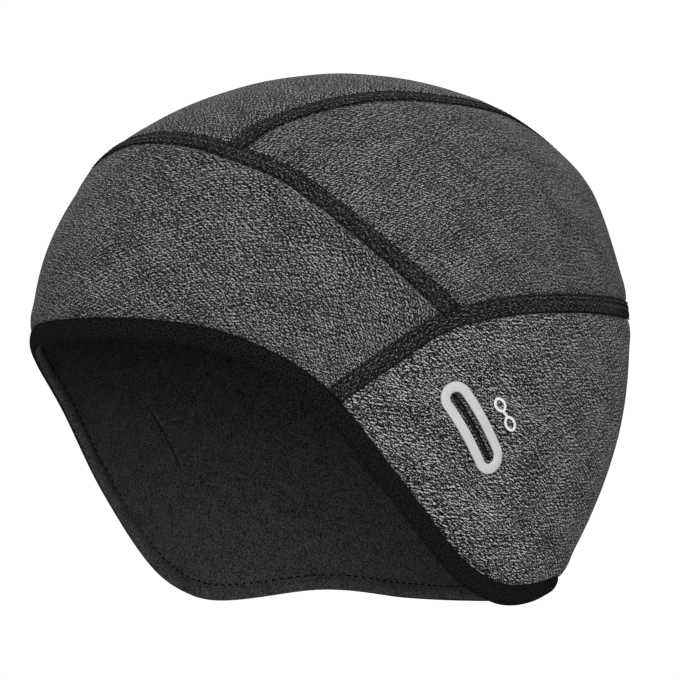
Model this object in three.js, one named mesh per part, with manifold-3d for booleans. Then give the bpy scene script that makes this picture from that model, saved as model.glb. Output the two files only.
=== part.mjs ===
import * as THREE from "three";
import { mergeVertices } from "three/addons/utils/BufferGeometryUtils.js";
import Module from "manifold-3d";

const wasm = await Module();
wasm.setup();

// A close fitting cycling cap with ear flaps, to be worn under a helmet.
// Millimetres. The wearer looks along -Y, +X is the wearer's left ear, +Z is up.
// The origin is where the crown of the head touches the inside of the cap.

// Head form, measured on the outer face of the cloth
const HALF_WIDTH = 83;
const FRONT_REACH = 97.3;
const BACK_REACH = 99.5;
const CROWN_HEIGHT = 83.3;
const FLAP_DROP = 81.5;
const HALF_WIDTH_AT_FLAP_END = 78.8;
const FRONT_REACH_AT_FLAP_END = 89.1;
const BACK_REACH_AT_FLAP_END = 57.2;

// How full the crown is in each direction: 1 is a plain ellipse, less is boxier
const SIDE_FULLNESS = 0.81;
const FRONT_FULLNESS = 0.963;
const BACK_FULLNESS = 0.761;

// Where the cloth leaves the plain head form: it stands up along the front seam, is drawn
// flat between that seam and the crown, and swells over the back of the head
const RIDGE_HEIGHT = 0.8;
const RIDGE_SPREAD = 7;
const CROWN_DIP = 1.3;
const BACK_SWELL = 1.65;
const BACK_SWELL_SPREAD = 16;

// Cloth, seams and hem
const CLOTH = 1;
const LINING_CLOTH = 1;
const GAP = 0.3;
const FRONT_SEAM_WIDTH = 5.8;
const CROWN_SEAM_WIDTH = 5.8;
const SIDE_SEAM_WIDTH = 5.4;
const SEAM_RISE = 0.3;
const HEM_FRONT_WIDTH = 6.2;
const HEM_BACK_WIDTH = 6;

// Slot for the temples of a pair of glasses, with its ring
const SLOT_LENGTH = 22;
const SLOT_WIDTH = 1.4;
const SLOT_TILT = 34.6;
const SLOT_CUT_DEPTH = 16;
const RING_LENGTH = 31;
const RING_WIDTH = 10.4;
const RING_BAND = 3.05;
const RING_THICKNESS = 0.5;

// Places on the cap are given as on a globe. The bearing goes from 0 at the front
// through 90 at the wearer's left ear to 180 at the back. The level is 0 at the crown,
// 1 where the cap is widest and 2 where the flaps end.
const HEM_EDGE = [
  { bearing: 0, level: 1.021 },
  { bearing: 20, level: 1.036 },
  { bearing: 35, level: 1.097 },
  { bearing: 50, level: 1.26 },
  { bearing: 65, level: 1.58 },
  { bearing: 80, level: 1.872 },
  { bearing: 91, level: 1.978 },
  { bearing: 101, level: 2 },
  { bearing: 125, level: 1.962 },
  { bearing: 150, level: 1.994 },
  { bearing: 180, level: 2.003 },
];
const FRONT_SEAM = [
  { bearing: 0, level: 0.509 },
  { bearing: 20, level: 0.536 },
  { bearing: 40, level: 0.621 },
  { bearing: 50, level: 0.697 },
  { bearing: 60, level: 0.792 },
  { bearing: 84, level: 1.04 },
];
const CROWN_SEAM = [
  { bearing: 26.5, level: 0.62 },
  { bearing: 30.7, level: 0.526 },
  { bearing: 36, level: 0.449 },
  { bearing: 50, level: 0.367 },
  { bearing: 72, level: 0.317 },
  { bearing: 98, level: 0.315 },
  { bearing: 135, level: 0.346 },
  { bearing: 152, level: 0.47 },
  { bearing: 158.5, level: 0.62 },
  { bearing: 161.5, level: 0.85 },
  { bearing: 162, level: 1.02 },
];
const SIDE_SEAM = [
  { bearing: 46, level: 1.42 },
  { bearing: 56, level: 1.262 },
  { bearing: 67.5, level: 1.115 },
  { bearing: 77.5, level: 1.004 },
  { bearing: 87, level: 0.973 },
  { bearing: 100, level: 0.952 },
  { bearing: 120, level: 0.942 },
  { bearing: 150, level: 0.942 },
  { bearing: 180, level: 0.942 },
];
const BACK_SWELL_LEVEL = 0.604;
const SLOT_PLACE = { bearing: 84.7, level: 1.34 };

// Fineness of the facets
const COLUMNS = 56;
const ROWS = 12;
const RING_SIDES = 20;
const SEAM_STEP = 10;

const GREY_KNIT = new THREE.MeshStandardMaterial({ color: "#565656", roughness: 0.95 });
const BLACK_KNIT = new THREE.MeshStandardMaterial({ color: "#262626", roughness: 0.95 });
const BLACK_FLEECE = new THREE.MeshStandardMaterial({ color: "#1d1d1d", roughness: 1 });
const GREY_RUBBER = new THREE.MeshStandardMaterial({ color: "#cfcfcf", roughness: 0.4 });

const rad = THREE.MathUtils.degToRad;
const mix = THREE.MathUtils.lerp;

// A place on the cap is a bearing in degrees and a fall in mm, counted from the crown.
// The fall grows evenly over the crown's quarter turn, and below it with the height.
const CROWN_FALL = (CROWN_HEIGHT * Math.PI) / 2;
function placeAt({ bearing, level }) {
  return { bearing, fall: Math.min(level, 1) * CROWN_FALL + Math.max(level - 1, 0) * FLAP_DROP };
}

// Half axis of the cap at a fall: swells from the crown to the widest level, then draws in
function reachAt(fall, widest, atFlapEnd, fullness) {
  const swell = Math.sin(Math.min(fall, CROWN_FALL) / CROWN_HEIGHT) ** fullness;
  const below = Math.max(fall - CROWN_FALL, 0) / FLAP_DROP;
  return widest * swell - (widest - atFlapEnd) * below ** 2;
}

// Level at a bearing, smooth through the rows of a table that is the same on both sides
function levelAt(table, bearing) {
  const fromFront = Math.abs(THREE.MathUtils.euclideanModulo(bearing + 180, 360) - 180);
  const last = table.length - 1;
  const b = Math.min(fromFront, table[last].bearing);
  const next = table.findIndex((row, k) => k > 0 && b <= row.bearing);
  const slopeAt = (k) => {
    if (k === 0 || k === last) return 0;
    return (table[k + 1].level - table[k - 1].level) / (table[k + 1].bearing - table[k - 1].bearing);
  };
  const from = table[next - 1];
  const to = table[next];
  const span = to.bearing - from.bearing;
  const t = (b - from.bearing) / span;
  const bend = slopeAt(next - 1) * t * (1 - t) ** 2 - slopeAt(next) * t ** 2 * (1 - t);
  return mix(from.level, to.level, t * t * (3 - 2 * t)) + bend * span;
}

// How far the cloth stands off the plain head form
const bell = (distance, spread) => Math.exp(-((distance / spread) ** 2));
function standOff(bearing, fall) {
  const seamFall = placeAt({ bearing, level: levelAt(FRONT_SEAM, bearing) }).fall;
  const fromFront = Math.abs(THREE.MathUtils.euclideanModulo(bearing + 180, 360) - 180);
  const lastOfSeam = FRONT_SEAM.at(-1).bearing;
  const alongSeam = 1 - THREE.MathUtils.smoothstep(fromFront, 0.8 * lastOfSeam, 1.1 * lastOfSeam);
  const ridge = RIDGE_HEIGHT * bell(fall - seamFall, RIDGE_SPREAD) * alongSeam;
  const towardSeam = Math.min(fall / seamFall, 1);
  const ahead = Math.max(Math.cos(rad(bearing)), 0);
  const dip = CROWN_DIP * Math.sin(Math.PI * towardSeam) ** 2 * ahead;
  const behind = Math.max(-Math.cos(rad(bearing)), 0);
  const swell = BACK_SWELL * bell(fall - BACK_SWELL_LEVEL * CROWN_FALL, BACK_SWELL_SPREAD) * behind;
  return ridge - dip + swell;
}

const HEAD_MIDDLE = new THREE.Vector3(0, 0, -CROWN_HEIGHT / 16);
function onForm({ bearing, fall }) {
  const side = reachAt(fall, HALF_WIDTH, HALF_WIDTH_AT_FLAP_END, SIDE_FULLNESS);
  const ahead = reachAt(fall, FRONT_REACH, FRONT_REACH_AT_FLAP_END, FRONT_FULLNESS);
  const behind = reachAt(fall, BACK_REACH, BACK_REACH_AT_FLAP_END, BACK_FULLNESS);
  const across = Math.sin(rad(bearing));
  const forward = Math.cos(rad(bearing));
  const radius = 1 / Math.hypot(across / side, forward / (forward > 0 ? ahead : behind));
  const rise = CROWN_HEIGHT * Math.cos(Math.min(fall, CROWN_FALL) / CROWN_HEIGHT);
  const below = Math.max(fall - CROWN_FALL, 0);
  const point = new THREE.Vector3(radius * across, -radius * forward, rise - below);
  const outward = point.clone().sub(HEAD_MIDDLE).normalize();
  return point.addScaledVector(outward, standOff(bearing, fall));
}

// Directions on the cloth at a place: per degree of bearing, per mm of fall, outward normal
const NEAR_CROWN = 2;
function directionsAt({ bearing, fall }) {
  const at = Math.max(fall, NEAR_CROWN);
  const turn = onForm({ bearing: bearing + 0.5, fall: at }).sub(onForm({ bearing: bearing - 0.5, fall: at }));
  const down = onForm({ bearing, fall: at + 0.5 }).sub(onForm({ bearing, fall: at - 0.5 }));
  const normal = fall < NEAR_CROWN ? new THREE.Vector3(0, 0, 1) : down.clone().cross(turn);
  return { turn, down, normal: normal.normalize() };
}

// A point at a height over the outer face of the cloth, below it where the height is negative
function onCloth(place, height = 0) {
  return onForm(place).addScaledVector(directionsAt(place).normal, height);
}

// The place that lies some mm from another along a direction on the cloth
function stepFrom(place, direction, distance) {
  const { turn, down } = directionsAt(place);
  const tt = turn.dot(turn);
  const td = turn.dot(down);
  const dd = down.dot(down);
  const t = turn.dot(direction);
  const d = down.dot(direction);
  const scale = distance / (tt * dd - td * td);
  return {
    bearing: place.bearing + (t * dd - d * td) * scale,
    fall: place.fall + (d * tt - t * td) * scale,
  };
}

// For each place of a path, the direction on the cloth square to the path, to its left
function leftOfPath(path, closed) {
  return path.map((place, i) => {
    const last = path.length - 1;
    const before = closed && i === 0 ? path[last] : path[Math.max(i - 1, 0)];
    const after = closed && i === last ? path[0] : path[Math.min(i + 1, last)];
    const along = onCloth(after).sub(onCloth(before));
    return directionsAt(place).normal.cross(along).normalize();
  });
}

function solid(points, triangles) {
  const geometry = new THREE.BufferGeometry().setFromPoints(points).setIndex(triangles);
  return solidOf(geometry);
}

function solidOf(geometry) {
  const bare = geometry.clone();
  bare.deleteAttribute("normal");
  bare.deleteAttribute("uv");
  const merged = mergeVertices(bare, 1e-4);
  const vertProperties = merged.getAttribute("position").array;
  const triVerts = new Uint32Array(merged.getIndex().array);
  return new wasm.Manifold(new wasm.Mesh({ numProp: 3, vertProperties, triVerts }));
}

// Sweep of a closed section: rings of points, each joined to the next one. Each side of the
// section is split into triangles along one diagonal, or along the other where it is crossed.
function sweep(rings, closed, crossed = () => false) {
  const sides = rings[0].length;
  const points = rings.flat();
  const triangles = [];
  const steps = closed ? rings.length : rings.length - 1;
  for (let i = 0; i < steps; i++) {
    const here = i * sides;
    const next = ((i + 1) % rings.length) * sides;
    for (let j = 0; j < sides; j++) {
      const k = (j + 1) % sides;
      if (crossed(j, k)) triangles.push(here + j, here + k, next + k, here + j, next + k, next + j);
      else triangles.push(here + j, here + k, next + j, here + k, next + k, next + j);
    }
  }
  const end = (rings.length - 1) * sides;
  for (let j = 1; j < sides - 1 && !closed; j++) {
    triangles.push(0, j + 1, j, end, end + j, end + j + 1);
  }
  return solid(points, triangles);
}

// Smooth path through the rows of a table, in equal steps
const MM_PER_DEGREE = rad(HALF_WIDTH);
function pathThrough(rows) {
  const corners = rows.map(placeAt).map(({ bearing, fall }) => new THREE.Vector2(bearing * MM_PER_DEGREE, fall));
  const curve = new THREE.SplineCurve(corners);
  const steps = Math.ceil(curve.getLength() / SEAM_STEP);
  return curve.getSpacedPoints(steps).map(({ x, y }) => ({ bearing: x / MM_PER_DEGREE, fall: y }));
}

const mirrored = ({ bearing, level }) => ({ bearing: -bearing, level });
const mirroredPastBack = ({ bearing, level }) => ({ bearing: 360 - bearing, level });

// A flat band along a path, between two distances to its left and two heights
function band(path, from, to, low, high, closed = false) {
  const left = leftOfPath(path, closed);
  const rings = path.map((place, i) => {
    const near = stepFrom(place, left[i], from);
    const far = stepFrom(place, left[i], to);
    return [onCloth(near, low), onCloth(far, low), onCloth(far, high), onCloth(near, high)];
  });
  return sweep(rings, closed);
}

// The lowest edge as places all round, starting at the front, closer together where it bends
function hemPath(count) {
  const FINE = 1440;
  const MM_PER_RADIAN = 40;
  const places = Array.from({ length: FINE + 1 }, (_, i) => {
    const bearing = (360 * i) / FINE;
    return placeAt({ bearing, level: levelAt(HEM_EDGE, bearing) });
  });
  const points = places.map(onForm);
  const reached = [0];
  for (let i = 1; i <= FINE; i++) {
    const step = points[i].clone().sub(points[i - 1]);
    const before = points[i - 1].clone().sub(points[i > 1 ? i - 2 : FINE - 1]);
    reached.push(reached[i - 1] + step.length() + MM_PER_RADIAN * step.angleTo(before));
  }
  return Array.from({ length: count }, (_, i) => {
    const wanted = (reached[FINE] * i) / count;
    return places[reached.findIndex((sum) => sum >= wanted)];
  });
}

const hem = hemPath(COLUMNS);
const intoCloth = leftOfPath(hem, true);
const besideHem = (distance) => hem.map((place, i) => stepFrom(place, intoCloth[i], distance));

// A wall of cloth from the crown down to some last rows of places, between two heights
function wall(lastRows, outer, inner) {
  const rowsOfPlaces = [];
  for (let i = 1; i < ROWS; i++) {
    const share = i / ROWS;
    rowsOfPlaces.push(
      hem.map((place, j) => ({
        bearing: place.bearing + (lastRows[0][j].bearing - place.bearing) * share,
        fall: lastRows[0][j].fall * share,
      })),
    );
  }
  rowsOfPlaces.push(...lastRows);
  const crown = { bearing: 0, fall: 0 };
  const points = [onCloth(crown, outer), onCloth(crown, inner)];
  for (const height of [outer, inner]) {
    points.push(...rowsOfPlaces.flat().map((place) => onCloth(place, height)));
  }
  const rows = rowsOfPlaces.length;
  const at = (layer, row, column) => 2 + (layer * rows + row) * COLUMNS + (column % COLUMNS);
  const triangles = [];
  for (let j = 0; j < COLUMNS; j++) {
    const k = j + 1;
    triangles.push(0, at(0, 0, j), at(0, 0, k), 1, at(1, 0, k), at(1, 0, j));
    for (let i = 0; i < rows - 1; i++) {
      triangles.push(at(0, i, j), at(0, i + 1, j), at(0, i, k));
      triangles.push(at(0, i, k), at(0, i + 1, j), at(0, i + 1, k));
      triangles.push(at(1, i, j), at(1, i, k), at(1, i + 1, j));
      triangles.push(at(1, i, k), at(1, i + 1, k), at(1, i + 1, j));
    }
    const end = rows - 1;
    triangles.push(at(0, end, j), at(1, end, j), at(0, end, k));
    triangles.push(at(0, end, k), at(1, end, j), at(1, end, k));
  }
  return solid(points, triangles);
}

// Folded hem: a strip in a U round the edge, wider outside than inside
function foldedHem() {
  const inside = -(CLOTH + 2 * GAP + LINING_CLOTH);
  const innermost = inside - CLOTH;
  const middle = innermost / 2;
  const section = [
    { up: HEM_FRONT_WIDTH, height: -CLOTH },
    { up: HEM_FRONT_WIDTH, height: 0 },
    { up: CLOTH + GAP, height: 0 },
    { up: 0.3 * CLOTH, height: middle * 0.4 },
    { up: 0, height: middle },
    { up: 0.3 * CLOTH, height: middle * 1.6 },
    { up: CLOTH + GAP, height: innermost },
    { up: HEM_BACK_WIDTH, height: innermost },
    { up: HEM_BACK_WIDTH, height: inside },
    { up: CLOTH + GAP, height: inside },
    { up: CLOTH + GAP, height: -CLOTH },
  ];
  const rows = section.map(({ up, height }) => besideHem(up).map((place) => onCloth(place, height)));
  const rings = hem.map((_, i) => rows.map((row) => row[i]));
  return sweep(rings, true, (j, k) => section[k].up > section[j].up);
}

// Slot and ring, turned to run from the temple down and back
const slotPlace = placeAt(SLOT_PLACE);
function slotFrame() {
  const { turn, down, normal } = directionsAt(slotPlace);
  const tilt = rad(SLOT_TILT);
  const along = down.normalize().multiplyScalar(Math.cos(tilt)).addScaledVector(turn.normalize(), Math.sin(tilt));
  return { along, across: normal.clone().cross(along).normalize(), normal };
}

function slotCutter() {
  const { along, across, normal } = slotFrame();
  const box = new THREE.BoxGeometry(SLOT_WIDTH, SLOT_LENGTH, SLOT_CUT_DEPTH);
  box.applyMatrix4(new THREE.Matrix4().makeBasis(across, along, across.clone().cross(along)));
  const centre = onCloth(slotPlace);
  return solidOf(box.translate(centre.x, centre.y, centre.z));
}

function ring() {
  const { along, across } = slotFrame();
  const radius = (RING_WIDTH - RING_BAND) / 2;
  const half = (RING_LENGTH - RING_BAND) / 2 - radius;
  const path = Array.from({ length: RING_SIDES }, (_, i) => {
    const lastOfHalf = RING_SIDES / 2 - 1;
    const lower = i > lastOfHalf;
    const turn = (Math.PI * (lower ? i - RING_SIDES / 2 : i)) / lastOfHalf + (lower ? Math.PI : 0);
    const sideways = radius * Math.cos(turn);
    const lengthways = radius * Math.sin(turn) + (lower ? -half : half);
    return stepFrom(stepFrom(slotPlace, across, sideways), along, lengthways);
  });
  return band(path, -RING_BAND / 2, RING_BAND / 2, GAP, GAP + RING_THICKNESS, true);
}

const mirror = (made) => {
  const { vertProperties, triVerts, numProp } = made.getMesh();
  const points = [];
  for (let i = 0; i < vertProperties.length; i += numProp) {
    points.push(new THREE.Vector3(-vertProperties[i], vertProperties[i + 1], vertProperties[i + 2]));
  }
  return solid(points, [...triVerts].reverse());
};

// Seams as paths from the wearer's right to the left, and right round the back
const frontPath = pathThrough([...FRONT_SEAM.slice(1).reverse().map(mirrored), ...FRONT_SEAM]);
const crownPath = pathThrough(CROWN_SEAM);
const sidePath = pathThrough([...SIDE_SEAM, ...SIDE_SEAM.slice(0, -1).reverse().map(mirroredPastBack)]);
const halfCrown = CROWN_SEAM_WIDTH / 2;

const SEAMS = {
  front: { path: frontPath, from: 0, to: FRONT_SEAM_WIDTH },
  crown: { path: crownPath, from: -halfCrown, to: halfCrown },
  side: { path: sidePath, from: 0, to: SIDE_SEAM_WIDTH },
};
const seamBand = ({ path, from, to }) => band(path, from, to, -CLOTH, SEAM_RISE);
const seamRoom = ({ path, from, to }) => band(path, from - GAP, to + GAP, -3 * CLOTH, 3 * CLOTH);

// Of the bodies left by the cuts, the one that a place on the cap lies in
function bodyAt(made, row) {
  const place = placeAt(row);
  const { turn, normal } = directionsAt(place);
  const sideways = turn.normalize();
  const box = new THREE.BoxGeometry(CLOTH, CLOTH, CLOTH);
  box.applyMatrix4(new THREE.Matrix4().makeBasis(sideways, normal.clone().cross(sideways), normal));
  const centre = onCloth(place, -CLOTH / 2);
  const probe = solidOf(box.translate(centre.x, centre.y, centre.z));
  return made.decompose().find((body) => body.intersect(probe).volume() > 0);
}

const largestOf = (made) => made.decompose().sort((a, b) => b.volume() - a.volume())[0];

const panelEnd = besideHem(HEM_FRONT_WIDTH + GAP);
const liningEnd = besideHem(CLOTH + 2 * GAP);
const liningTop = -(CLOTH + GAP);
const slots = slotCutter().add(mirror(slotCutter()));
const frontRoom = seamRoom(SEAMS.front);
const crownRoomLeft = seamRoom(SEAMS.crown);
const crownRoomRight = mirror(crownRoomLeft);
const sideRoom = seamRoom(SEAMS.side);

const lining = wall([panelEnd, liningEnd], liningTop, liningTop - LINING_CLOTH).subtract(slots);

// The outer cloth is cut along the side seam first, then along the seams that end on it
const outerCloth = wall([panelEnd], 0, -CLOTH).subtract(sideRoom);
const earAndNape = bodyAt(outerCloth, { bearing: 180, level: 1.4 }).subtract(slots);
const aboveSideSeam = bodyAt(outerCloth, { bearing: 0, level: 0.2 }).subtract(frontRoom);
const frontPanel = bodyAt(aboveSideSeam, { bearing: 0, level: 0.75 });
const crown = bodyAt(aboveSideSeam, { bearing: 0, level: 0.2 }).subtract(crownRoomLeft).subtract(crownRoomRight);

const seamZone = wall([panelEnd], 2 * CLOTH, -2 * CLOTH);
const sideSeam = largestOf(seamBand(SEAMS.side).intersect(seamZone));
const frontSeam = largestOf(seamBand(SEAMS.front).subtract(sideRoom));
const crownSeam = largestOf(seamBand(SEAMS.crown).subtract(frontRoom).subtract(sideRoom));

const group = new THREE.Group();
group.position.z = -(CROWN_HEIGHT + liningTop - LINING_CLOTH);

function addPiece(name, made, material) {
  const { vertProperties, triVerts } = made.getMesh();
  const geometry = new THREE.BufferGeometry();
  geometry.setAttribute("position", new THREE.BufferAttribute(vertProperties, 3));
  geometry.setIndex(new THREE.BufferAttribute(triVerts, 1));
  geometry.computeVertexNormals();
  const mesh = new THREE.Mesh(geometry, material);
  mesh.name = name;
  group.add(mesh);
}

addPiece("front_panel", frontPanel, GREY_KNIT);
addPiece("crown_centre_panel", bodyAt(crown, { bearing: 0, level: 0.2 }), GREY_KNIT);
addPiece("crown_side_panel_left", bodyAt(crown, { bearing: 95, level: 0.65 }), GREY_KNIT);
addPiece("crown_side_panel_right", bodyAt(crown, { bearing: -95, level: 0.65 }), GREY_KNIT);
addPiece("ear_and_nape_panel", earAndNape, GREY_KNIT);
addPiece("front_seam", frontSeam, BLACK_KNIT);
addPiece("crown_seam_left", crownSeam, BLACK_KNIT);
addPiece("crown_seam_right", mirror(crownSeam), BLACK_KNIT);
addPiece("side_and_back_seam", sideSeam, BLACK_KNIT);
addPiece("hem_band", foldedHem(), BLACK_KNIT);
addPiece("fleece_lining", lining, BLACK_FLEECE);
addPiece("glasses_slot_ring_left", ring(), GREY_RUBBER);
addPiece("glasses_slot_ring_right", mirror(ring()), GREY_RUBBER);

export default group;
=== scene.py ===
import math
import random

import bpy
import numpy as np
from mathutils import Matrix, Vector, noise
from mathutils.geometry import delaunay_2d_cdt
from mathutils.kdtree import KDTree


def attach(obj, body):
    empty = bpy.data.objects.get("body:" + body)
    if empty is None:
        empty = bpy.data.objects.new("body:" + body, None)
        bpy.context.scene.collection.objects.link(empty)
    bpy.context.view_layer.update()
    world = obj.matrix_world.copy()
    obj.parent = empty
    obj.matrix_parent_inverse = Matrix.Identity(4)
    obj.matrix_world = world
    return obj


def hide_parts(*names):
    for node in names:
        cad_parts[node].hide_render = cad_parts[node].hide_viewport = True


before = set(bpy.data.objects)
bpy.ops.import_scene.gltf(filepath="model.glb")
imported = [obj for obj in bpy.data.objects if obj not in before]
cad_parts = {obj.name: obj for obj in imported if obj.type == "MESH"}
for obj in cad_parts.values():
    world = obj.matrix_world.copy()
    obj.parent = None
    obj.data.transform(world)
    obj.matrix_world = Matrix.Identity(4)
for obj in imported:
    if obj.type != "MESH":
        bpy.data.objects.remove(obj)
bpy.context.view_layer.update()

# Front panel
# A curved piece of heathered jersey over the forehead, from temple to temple: polyester and
# elastane, knitted in fine rows, brushed inside. It is cut flat and sewn into the seams all
# round, so its edges roll down into them and the cloth swells a little beside each seam.

# Lengths are in millimetres until a mesh is made, and the cap is laid out as on a globe.
# The bearing goes from 0 at the front through 90 at the wearer's left ear to 180 at the back.
# The level is 0 at the crown, 1 where the cap is widest and 2 where the flaps end.
HALF_WIDTH = 83
FRONT_REACH = 97.3
BACK_REACH = 99.5
CROWN_HEIGHT = 83.3
FLAP_DROP = 81.5
HALF_WIDTH_AT_FLAP_END = 78.8
FRONT_REACH_AT_FLAP_END = 89.1
BACK_REACH_AT_FLAP_END = 57.2
SIDE_FULLNESS = 0.81
FRONT_FULLNESS = 0.963
BACK_FULLNESS = 0.761
RIDGE_HEIGHT = 0.8
RIDGE_SPREAD = 7
RIDGE_FADES_AT = 0.8
RIDGE_FADES_OVER = 0.3
CROWN_DIP = 1.3
BACK_SWELL = 1.65
BACK_SWELL_SPREAD = 16
BACK_SWELL_LEVEL = 0.604
CROWN_FALL = CROWN_HEIGHT * math.pi / 2
CLOTH = 1.0
LINING_CLOTH = 1.0
GAP = 0.3
FRONT_SEAM_WIDTH = 5.8
SIDE_SEAM_WIDTH = 5.4
HEM_FRONT_WIDTH = 6.2
# Places on a seam's path, on the edge of a piece and on the hem lie this far apart
PATH_SPACING = 0.8
EDGE_SPACING = 0.9
HEM_SPACING = 1.2
# The mesh origin is where the crown of the head touches the lining
RISE = -(CROWN_HEIGHT - CLOTH - GAP - LINING_CLOTH)
# Ridges, dips and swells go straight out from a point this far under the middle of the form
CENTRE_DROP = CROWN_HEIGHT / 16
# A smooth path takes this many steps from one row of its table to the next
STEPS_PER_ROW = 60

# Rows of bearing and level, the same on both sides of the cap
HEM_EDGE = [
    (0, 1.021), (20, 1.036), (35, 1.097), (50, 1.26), (65, 1.58), (80, 1.872),
    (91, 1.978), (101, 2), (125, 1.962), (150, 1.994), (180, 2.003),
]
FRONT_SEAM = [(0, 0.509), (20, 0.536), (40, 0.621), (50, 0.697), (60, 0.792), (84, 1.04)]
SIDE_SEAM = [
    (46, 1.42), (56, 1.262), (67.5, 1.115), (77.5, 1.004), (87, 0.973), (100, 0.952),
    (120, 0.942), (150, 0.942), (180, 0.942),
]


def fall_at(level):
    """How far below the crown a level lies, measured down the cloth."""
    return np.minimum(level, 1) * CROWN_FALL + np.maximum(level - 1, 0) * FLAP_DROP


def spot_from(bearing, fall):
    """A place on the cap, flattened round the crown: x to the left ear, y to the back."""
    turn = np.radians(bearing)
    return np.stack([fall * np.sin(turn), -fall * np.cos(turn)], -1)


def spot_at(bearing, level):
    return spot_from(bearing, fall_at(np.asarray(level, float)))


def level_on(rows, bearing):
    """Level at a bearing, smooth through the rows of a table."""
    turns, levels = np.array(rows, float).T
    slope = np.zeros(len(turns))
    slope[1:-1] = (levels[2:] - levels[:-2]) / (turns[2:] - turns[:-2])
    b = np.minimum(np.abs((np.asarray(bearing) + 180) % 360 - 180), turns[-1])
    k = np.clip(np.searchsorted(turns, b), 1, len(turns) - 1)
    span = turns[k] - turns[k - 1]
    t = (b - turns[k - 1]) / span
    bend = slope[k - 1] * t * (1 - t) ** 2 - slope[k] * t**2 * (1 - t)
    return levels[k - 1] + (levels[k] - levels[k - 1]) * t * t * (3 - 2 * t) + bend * span


def form(spots):
    """Points of the outer face of the cloth."""
    x, y = spots[..., 0], spots[..., 1]
    fall = np.hypot(x, y)
    bearing = np.degrees(np.arctan2(x, -y))
    arc = np.minimum(fall, CROWN_FALL) / CROWN_HEIGHT
    below = np.maximum(fall - CROWN_FALL, 0)

    def reach(widest, at_flap_end, fullness):
        swell = np.maximum(np.sin(arc), 1e-9) ** fullness
        return widest * swell - (widest - at_flap_end) * (below / FLAP_DROP) ** 2

    side = reach(HALF_WIDTH, HALF_WIDTH_AT_FLAP_END, SIDE_FULLNESS)
    ahead = reach(FRONT_REACH, FRONT_REACH_AT_FLAP_END, FRONT_FULLNESS)
    behind = reach(BACK_REACH, BACK_REACH_AT_FLAP_END, BACK_FULLNESS)
    across, forward = np.sin(np.radians(bearing)), np.cos(np.radians(bearing))
    radius = 1 / np.hypot(across / side, forward / np.where(forward > 0, ahead, behind))
    rise = CROWN_HEIGHT * np.cos(arc) - below
    points = np.stack([radius * across, -radius * forward, rise], -1)
    outward = points + [0, 0, CENTRE_DROP]
    outward /= np.linalg.norm(outward, axis=-1, keepdims=True)

    seam_fall = fall_at(level_on(FRONT_SEAM, bearing))
    last = FRONT_SEAM[-1][0]
    past = np.abs(bearing) - RIDGE_FADES_AT * last
    fade = np.clip(past / (RIDGE_FADES_OVER * last), 0, 1)
    along_seam = 1 - fade * fade * (3 - 2 * fade)
    ridge = RIDGE_HEIGHT * np.exp(-(((fall - seam_fall) / RIDGE_SPREAD) ** 2)) * along_seam
    toward_seam = np.minimum(fall / seam_fall, 1)
    dip = CROWN_DIP * np.sin(math.pi * toward_seam) ** 2 * np.maximum(forward, 0)
    from_swell = (fall - BACK_SWELL_LEVEL * CROWN_FALL) / BACK_SWELL_SPREAD
    swell = BACK_SWELL * np.exp(-(from_swell**2)) * np.maximum(-forward, 0)
    return points + outward * (ridge - dip + swell)[..., None]


def directions(spots):
    """The two directions on the cloth along the flattened x and y, and the outward normal."""
    reach = 0.5
    dx = (form(spots + [reach, 0]) - form(spots - [reach, 0])) / (2 * reach)
    dy = (form(spots + [0, reach]) - form(spots - [0, reach])) / (2 * reach)
    normal = np.cross(dx, dy)
    return dx, dy, normal / np.linalg.norm(normal, axis=-1, keepdims=True)


def on_cloth(spots, height=0.0):
    """Points at a height over the outer face of the cloth."""
    return form(spots) + directions(spots)[2] * np.asarray(height, float)[..., None]


def step(spots, direction, distance):
    """The places some mm from others, along a direction on the cloth."""
    dx, dy, _ = directions(spots)
    xx, xy, yy = (dx * dx).sum(-1), (dx * dy).sum(-1), (dy * dy).sum(-1)
    tx, ty = (dx * direction).sum(-1), (dy * direction).sum(-1)
    scale = np.asarray(distance, float) / (xx * yy - xy * xy)
    return spots + np.stack([(tx * yy - ty * xy) * scale, (ty * xx - tx * xy) * scale], -1)


def along_and_left(path, closed=False):
    """For each place of a path, the direction along it and the one on the cloth to its left."""
    points = form(path)
    if closed:
        along = np.roll(points, -1, 0) - np.roll(points, 1, 0)
    else:
        along = np.gradient(points, axis=0)
    along /= np.linalg.norm(along, axis=1, keepdims=True)
    left = np.cross(directions(path)[2], along)
    return along, left / np.linalg.norm(left, axis=1, keepdims=True)


def beside(path, distance, closed=False):
    """A path some mm to the left of another."""
    return step(path, along_and_left(path, closed)[1], distance)


def run_along(points):
    """How far along a row of points each one lies."""
    steps = np.linalg.norm(np.diff(points, axis=0), axis=1)
    return np.concatenate([[0], steps.cumsum()])


def evened(path, spacing, closed=False):
    """The same path with its places at even distances on the cloth."""
    if closed:
        path = np.vstack([path, path[:1]])
    run = run_along(form(path))
    count = 2 * max(round(run[-1] / spacing / 2), 1)
    wanted = np.linspace(0, run[-1], count + 1)
    made = np.stack([np.interp(wanted, run, path[:, k]) for k in (0, 1)], 1)
    return made[:-1] if closed else made


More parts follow.
